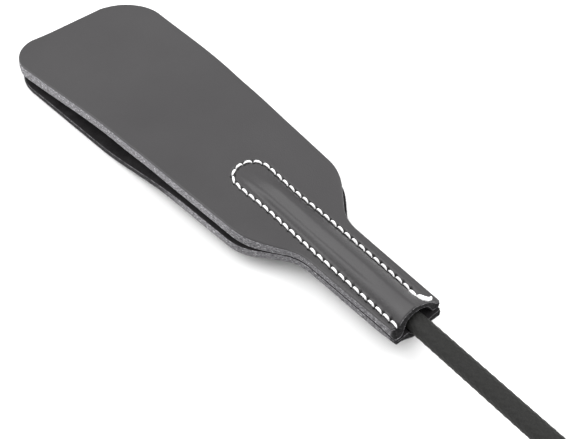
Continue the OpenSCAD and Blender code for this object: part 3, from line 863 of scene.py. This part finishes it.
# ---- Grip
# A turned wooden core under a black leather cover, sewn with the keeper's thread along one seam.
# Thread is wound round the shaft in front of it, and a leather and a metal ring close its ends.
def make_winding_tree():
    """A round cord wound in a close spiral that rises along Z."""
    tree, given = start_geometry_tree("wound_thread", [
        ("Turns", "Float"), ("Start Radius", "Float"), ("End Radius", "Float"), ("Length", "Float"),
        ("Thread Radius", "Float")])
    spiral = add_node(
        tree, "GeometryNodeCurveSpiral", Resolution=48, Rotations=given["Turns"], Height=given["Length"],
        Start_Radius=given["Start Radius"], End_Radius=given["End Radius"])
    section = add_node(
        tree, "GeometryNodeCurvePrimitiveCircle", Resolution=10, Radius=given["Thread Radius"])
    wound = add_node(tree, "GeometryNodeCurveToMesh", Curve=spiral.outputs[0],
                     Profile_Curve=section.outputs[0], Fill_Caps=True)
    return finish_geometry_tree(tree, given, wound.outputs[0])


whip_thread = 0.42 * mm
whip_length = whip_high.x - whip_low.x - 2 * whip_thread
whipping = run_tree(
    line_object("whipping_line", [(0, 0, 0), (0, 0, 0.01)]), make_winding_tree(), "grip_thread_whipping",
    Turns=whip_length / (2 * whip_thread), Length=whip_length, Thread_Radius=whip_thread, Material=black_yarn,
    Start_Radius=float(sleeve_radius(whip_low.x)) + 0.3 * mm,
    End_Radius=float(sleeve_radius(whip_high.x)) + 0.45 * mm)
whipping.data.transform(
    Matrix.Translation((whip_low.x + whip_thread, 0, axis_z)) @ Matrix.Rotation(math.pi / 2, 4, "Y"))
stand_in(whipping, "grip_whipping")

cover_low, cover_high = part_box("grip_cover")
cover_rear_radius = (cover_high.z - cover_low.z) / 2
cover_front_radius = 8.0 * mm
cover_thickness = 1.4 * mm
seam_turn = math.radians(-62)
seam_margin = 4 * mm
grip_stitches = 40
grip_pitch = (cover_high.x - cover_low.x - 2 * seam_margin) / grip_stitches


def cover_radius(x):
    """Outer radius of the cover, which is slimmer in front."""
    return np.interp(x, [cover_low.x, cover_high.x], [cover_front_radius, cover_rear_radius])


def build_cover():
    """The cover as a tube whose two edges meet in a butt seam, with a groove between them."""
    xs = np.concatenate([[cover_low.x, cover_low.x + 0.2 * mm, cover_low.x + 0.6 * mm],
                         np.linspace(cover_low.x + 1.5 * mm, cover_high.x - 1.5 * mm, 160),
                         [cover_high.x - 0.6 * mm, cover_high.x - 0.2 * mm, cover_high.x]])
    near = np.radians(np.array([0, 0.9, 1.8, 3, 5, 7.5, 10, 13, 17, 22, 30]))
    turn = np.concatenate([near, np.radians(np.arange(38, 323, 7.5)), 2 * math.pi - near[:0:-1]])
    rings = []
    for x in xs:
        away = np.minimum(turn, 2 * math.pi - turn) * cover_radius(x)
        groove = 0.55 * mm * np.exp(-((away / (0.28 * mm)) ** 2))
        tension = 0.5 + 0.5 * math.cos(2 * math.pi * ((x - cover_low.x - seam_margin) / grip_pitch))
        pull = 0.22 * mm * np.exp(-(((away - 1.6 * mm) / (0.8 * mm)) ** 2)) * tension
        end_round = rounding(min(x - cover_low.x, cover_high.x - x), 0.6 * mm)
        rings.append((x, cover_radius(x) - groove - pull - end_round))
    for x, outer in ((cover_high.x, cover_rear_radius), (cover_low.x, cover_front_radius)):
        rings.append((x, np.full(len(turn), outer - cover_thickness)))
    points = [(x, r * math.sin(a), axis_z + r * math.cos(a))
              for x, radii in rings for a, r in zip(turn + seam_turn, radii)]
    cover = mesh_object("grip_leather_cover", points, ring_faces(len(rings), len(turn), closed=True))
    face_outward(cover)
    return cover


grip_leather = leather_material(
    "grip_leather", (0.020, 0.020, 0.021), (0.034, 0.033, 0.034), 900.0, 45.0, 0.55, roughness=0.46)
cover = build_cover()
cover.data.materials.append(grip_leather)
stand_in(cover, "grip_cover")

# The seam is closed by slanting stitches that cross the groove
cross_stitch = single_stitch("cross_stitch_model", 4.2 * mm, 0.40 * mm)
grip_line = []
for k in (0, grip_stitches - 1):
    x = cover_low.x + seam_margin + (k + 0.5) * grip_pitch
    grip_line.append((x, 0, float(cover_radius(x)) + 0.12 * mm))
seam_stitches = sew("grip_seam_stitches", grip_line, grip_stitches, cross_stitch, math.radians(62), 0.04)
# The long stitches bend round the grip, then the row is turned to its seam
for vertex in seam_stitches.data.vertices:
    x, y, z = vertex.co
    angle = y / z + seam_turn
    vertex.co = (x, z * math.sin(angle), axis_z + z * math.cos(angle))
stand_in(seam_stitches, "grip_seam_thread")


def bevelled_copy(node, name, width, material, body="crop"):
    """The CAD piece with its sharp edges slightly broken, so that they catch the light."""
    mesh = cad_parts[node].data.copy()
    mesh.name = name
    shell = bmesh.new()
    shell.from_mesh(mesh)
    bmesh.ops.remove_doubles(shell, verts=shell.verts, dist=1e-6)
    bmesh.ops.dissolve_limit(shell, angle_limit=math.radians(0.5), verts=shell.verts, edges=shell.edges)
    bmesh.ops.recalc_face_normals(shell, faces=shell.faces)
    sharp = [e for e in shell.edges if len(e.link_faces) == 2 and e.calc_face_angle() > math.radians(28)]
    bmesh.ops.bevel(
        shell, geom=sharp, offset=width, segments=2, profile=0.6, affect="EDGES", clamp_overlap=True)
    for face in shell.faces:
        face.smooth = True
    shell.to_mesh(mesh)
    shell.free()
    for layer in list(mesh.attributes):
        if layer.name == "custom_normal":
            mesh.attributes.remove(layer)
    mesh.materials.clear()
    mesh.materials.append(material)
    piece = new_object(name, mesh)
    mesh.set_sharp_from_angle(angle=math.radians(40))
    stand_in(piece, node, body)


satin_metal = streaked_material(
    "satin_nickel", {"Scale": 1.0, "Detail": 3.0}, [(0.3, (0.42, 0.42, 0.43)), (0.7, (0.54, 0.54, 0.55))],
    stretch=(4000.0, 160.0, 160.0), roughness_stops=[(0.3, (0.26, 0.26, 0.26)), (0.7, (0.40, 0.40, 0.40))],
    roughness=0.32, metallic=1.0)
bevelled_copy("grip_front_ring", "front_leather_ring", 0.35 * mm, grip_leather)
bevelled_copy("grip_rear_ring", "rear_metal_ring", 0.15 * mm, satin_metal)
core_wood = streaked_material(
    "core_wood", {"Scale": 1.0, "Detail": 4.0}, [(0.3, (0.45, 0.30, 0.17)), (0.7, (0.66, 0.50, 0.32))],
    stretch=(30.0, 500.0, 500.0), roughness=0.7)
finish_node("grip_core", core_wood)


# ---- Butt cap
# A turned metal cap, slotted for the wrist strap and crossed by the pin that holds it.
# Three round-headed brads fix it to the core.
bevelled_copy("butt_cap", "slotted_butt_cap", 0.35 * mm, satin_metal)
bevelled_copy("strap_pin", "strap_cross_pin", 0.3 * mm, satin_metal)

brad_low, brad_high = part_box("cap_brads")
cap_low, cap_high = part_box("butt_cap")
brad_x = (brad_low.x + brad_high.x) / 2
cap_radius = (cap_high.z - cap_low.z) / 2
brad_count = 3
brad_shank = 0.8 * mm
brad_length = 4.5 * mm
brad_head = 1.5 * mm
brad_dome = 0.5 * mm
# A brad's outline, as radius and height over the cap: the shank, then the domed head
brad_profile = [(brad_shank, -brad_length), (brad_shank, -0.1 * mm)]
brad_profile += [(brad_head * math.cos(a), -0.05 * mm + brad_dome * math.sin(a))
                 for a in np.linspace(0, 1.45, 7)]
brad_turn = np.linspace(0, 2 * math.pi, 24, endpoint=False)
brad_points = [(r * math.cos(a), r * math.sin(a), cap_radius + h) for r, h in brad_profile for a in brad_turn]
for k in range(brad_count):
    brad = mesh_object(f"cap_brad_{k + 1}", brad_points, ring_faces(len(brad_profile), len(brad_turn)))
    brad.data.transform(
        Matrix.Translation((brad_x, 0, axis_z)) @ Matrix.Rotation(2 * math.pi * k / brad_count, 4, "X"))
    brad.data.materials.append(satin_metal)
    stand_in(brad, "cap_brads")


# ---- Wrist strap
# One strip of black leather bent into a drop, both ends on the cap's cross pin.
# A tubular rivet holds the two strands together behind the cap.
pin_low, pin_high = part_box("strap_pin")
pin_x = (pin_low.x + pin_high.x) / 2
strap_width = 10 * mm
strap_thickness = 2.2 * mm
strand_y = strap_thickness / 2 + 0.05 * mm
# Each strand leaves the cap straight, spreads on an arc, runs straight again and turns round the far end
leave = 24 * mm
spread_radius = 60 * mm
loop_radius = 33 * mm
loop_len = 176 * mm
# The loop slopes down from the pin until its far end rests on the floor
loop_tilt = math.asin(axis_z / math.hypot(loop_len, strap_width / 2)) - math.atan(strap_width / 2 / loop_len)
rivet_x = 19 * mm
rivet_hole = 1.3 * mm
pin_clearance = 0.1 * mm


def strap_line():
    """Half of the strap's middle line as x, y and heading, from the pin to the far end."""
    far = np.array([loop_len - strap_thickness / 2 - loop_radius, 0])
    spread = np.array([leave, strand_y + spread_radius])
    gap = far - spread
    turn = math.atan2(gap[1], gap[0]) + math.asin((spread_radius + loop_radius) / np.linalg.norm(gap))
    round_end = -strap_width / 2 * np.cos(np.linspace(0.12, math.pi / 2, 9))
    strand = np.linspace(1.2 * mm, leave - 1 * mm, 14)
    line = [(x, strand_y, 0.0) for x in np.concatenate([round_end, strand])]
    line += [(spread[0] + spread_radius * math.sin(a), spread[1] - spread_radius * math.cos(a), a)
             for a in np.linspace(0, turn, 12)]
    straight_start = np.array(line[-1][:2])
    straight_end = far + loop_radius * np.array([-math.sin(turn), math.cos(turn)])
    line += [(*(straight_start + (straight_end - straight_start) * t), turn)
             for t in np.linspace(0, 1, 26)[1:-1]]
    line += [(far[0] - loop_radius * math.sin(a), far[1] + loop_radius * math.cos(a), a)
             for a in np.linspace(turn, -math.pi / 2, 44)]
    return np.array(line)


half_line = strap_line()
other_half = half_line[-2::-1] * np.array([1, -1, -1])
other_half[:, 2] = -half_line[-2::-1, 2] + math.pi
whole_line = np.vstack([half_line, other_half])
half_height = strap_width / 2
rounded_end = np.sqrt(np.clip(half_height**2 - whole_line[:, 0] ** 2, 0, None))
height_at = np.where(whole_line[:, 0] < 0, rounded_end, half_height)
# Section of the strap: its outer face with a pressed line near each edge, then its inner face
outer = [(-1, 0.25 * mm)]
for h in np.linspace(-1, 1, 29)[1:-1]:
    from_edge = (1 - abs(h)) * half_height
    pressed = 0.14 * mm * math.exp(-(((from_edge - 1.5 * mm) / (0.22 * mm)) ** 2))
    outer.append((h, strap_thickness / 2 - pressed - rounding(from_edge, 0.5 * mm)))
outer.append((1, 0.25 * mm))
section = outer + [(h, -d) for h, d in outer[::-1]]
heading = whole_line[:, 2]
normal = np.column_stack([-np.sin(heading), np.cos(heading)])
points = []
for (x, y, _), n, tall in zip(whole_line, normal, height_at):
    for h, d in section:
        points.append((x + n[0] * d, y + n[1] * d, h * tall))
strap = mesh_object("wrist_strap_leather", points, ring_faces(len(whole_line), len(section)))
face_outward(strap)


def pierce(piece, x, radius):
    """The piece with a round hole through it along Y, as deep as the piece."""
    reach = 60 * mm
    turn = np.linspace(0, 2 * math.pi, 32, endpoint=False)
    ring = [(x + radius * math.cos(a), end, radius * math.sin(a)) for end in (-reach, reach) for a in turn]
    drill = mesh_object("drill", ring, ring_faces(2, len(turn)), False)
    face_outward(drill)
    cut = piece.modifiers.new("hole", "BOOLEAN")
    cut.operation = "DIFFERENCE"
    cut.solver = "EXACT"
    cut.object = drill
    pierced = plain_result(piece, "wrist_strap_leather")
    bpy.data.objects.remove(drill)
    return pierced


# Both ends turn on the pin, and the rivet goes through both strands
pin_radius = (pin_high.z - pin_low.z) / 2
strap = pierce(strap, 0.0, pin_radius + pin_clearance)
strap = pierce(strap, rivet_x, rivet_hole)
strap.data.set_sharp_from_angle(angle=math.radians(40))
strap.data.transform(Matrix.Translation((pin_x, 0, axis_z)) @ Matrix.Rotation(loop_tilt, 4, "Y"))
strap.data.materials.append(leather_material(
    "strap_leather", (0.022, 0.021, 0.022), (0.036, 0.035, 0.036), 1500.0, 50.0, 0.3, roughness=0.42))
stand_in(strap, "wrist_strap", "wrist_loop")
bevelled_copy("strap_rivet", "strap_tubular_rivet", 0.2 * mm, satin_metal, "wrist_loop")
for model in (long_stitch, cross_stitch):
    bpy.data.objects.remove(model)


# ---- Studio
# A pale floor under a surround that is white overhead and greyer towards the horizon, with two large
# soft lights: one beyond the keeper on the right, and one before it on the left.
floor_corners = [(-3, -3), (3, -3), (3, 3), (-3, 3)]
floor = mesh_object("floor", [(x, y, -0.0001) for x, y in floor_corners], [(0, 1, 2, 3)], False)
floor_paint, tree, shader = new_material("floor_paint", 0.9, specular=0.1)
shader.inputs["Base Color"].default_value = (0.9, 0.9, 0.9, 1)
floor.data.materials.append(floor_paint)

world = bpy.data.worlds.new("studio")
world.use_nodes = True
tree = world.node_tree
direction = add_node(tree, "ShaderNodeTexCoord").outputs["Generated"]
height = add_node(tree, "ShaderNodeSeparateXYZ", Vector=direction).outputs["Z"]
surround = tree.nodes["Background"]
surround.inputs["Strength"].default_value = 1.35
sky = colour_ramp(tree, height, [(0.1, (0.45, 0.45, 0.45)), (0.85, (1, 1, 1))])
tree.links.new(sky, surround.inputs["Color"])
bpy.context.scene.world = world


def softbox(name, place, target, size, power):
    light = bpy.data.lights.new(name, "AREA")
    light.shape = "SQUARE"
    light.size = size
    light.energy = power
    thing = new_object(name, light)
    thing.location = place
    thing.rotation_euler = (Vector(target) - Vector(place)).to_track_quat("-Z", "Y").to_euler()


keeper_middle = (mouth_x - 90 * mm, 0, 0)
softbox("near_left_card", (mouth_x - 0.75, -0.7, 0.85), keeper_middle, 1.25, 14)
softbox("far_right_softbox", (mouth_x + 0.3, 0.85, 1.1), keeper_middle, 1.0, 12)

camera_data = bpy.data.cameras.new("camera")
camera_data.lens = 75.24
camera_data.sensor_width = 36
camera = new_object("camera", camera_data)
leaf_top_z = seam_z + neck_thickness
camera.location = (mouth_x + 145.0 * mm, -166.8 * mm, leaf_top_z + 281.2 * mm)
aim = Vector((mouth_x - 52.3 * mm, -3.1 * mm, leaf_top_z))
camera.rotation_euler = (aim - camera.location).to_track_quat("-Z", "Y").to_euler()
bpy.context.scene.camera = camera
bpy.context.scene.view_settings.view_transform = "Standard"
